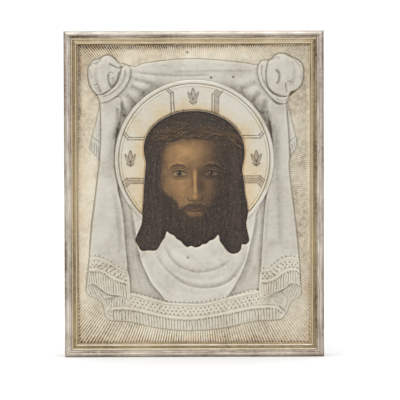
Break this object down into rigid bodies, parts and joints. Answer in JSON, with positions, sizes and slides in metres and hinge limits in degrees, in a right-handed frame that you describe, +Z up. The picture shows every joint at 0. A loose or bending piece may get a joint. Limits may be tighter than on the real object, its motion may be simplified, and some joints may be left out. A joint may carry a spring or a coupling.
{
  "type": "icon in a chased metal cover",
  "caption": "Upright rectangular devotional panel in a chased metal cover with a mitred frame, a halo plate, a window for the painted head and a hanging ring behind.",
  "frame": {"origin": "middle of the lower edge's box, on the surface that the icon stands on", "axes": "+X to the icon's right as seen from the front, +Z up, -Y out of the front of the cover"},
  "size_m": [0.178, 0.0314, 0.2234],
  "materials": {
    "board_wood": "planed and aged",
    "batten_wood": "planed and aged",
    "linen": "woven, sized",
    "gesso": "chalk ground",
    "paint": "dark varnished paint",
    "chased_silver": "chased, pale gilt, tarnished",
    "strip_silver": "rubbed silver with gilt mouldings",
    "halo_gilt": "smooth, part gilt",
    "rim_silver": "polished silver",
    "nail_metal": "dark brass",
    "hanger_brass": "aged brass",
    "screw_iron": "blued iron"
  },
  "bodies": {
    "icon": {"wooden_panel": "board_wood", "upper_batten": "batten_wood", "lower_batten": "batten_wood", "linen_layer": "linen", "gesso_ground": "gesso", "paint_layer": "paint", "oklad_sheet": "chased_silver", "frame_strip_top": "strip_silver", "frame_strip_bottom": "strip_silver", "frame_strip_left": "strip_silver", "frame_strip_right": "strip_silver", "halo_plate": "halo_gilt", "halo_rim": "rim_silver", "halo_pins": "rim_silver", "field_nails": "nail_metal", "edge_brads": "nail_metal", "hanger_plate": "hanger_brass", "hanger_eye": "hanger_brass", "hanger_screws": "screw_iron"},
    "ring": {"hanging_ring": "hanger_brass"}
  },
  "joints": [
    {"name": "ring_swing", "type": "hinge", "parent": "icon", "child": "ring", "pos_m": [0, 0.01353, 0.14744], "axis": [1, 0, 0], "range_deg": [0, 180]}
  ]
}
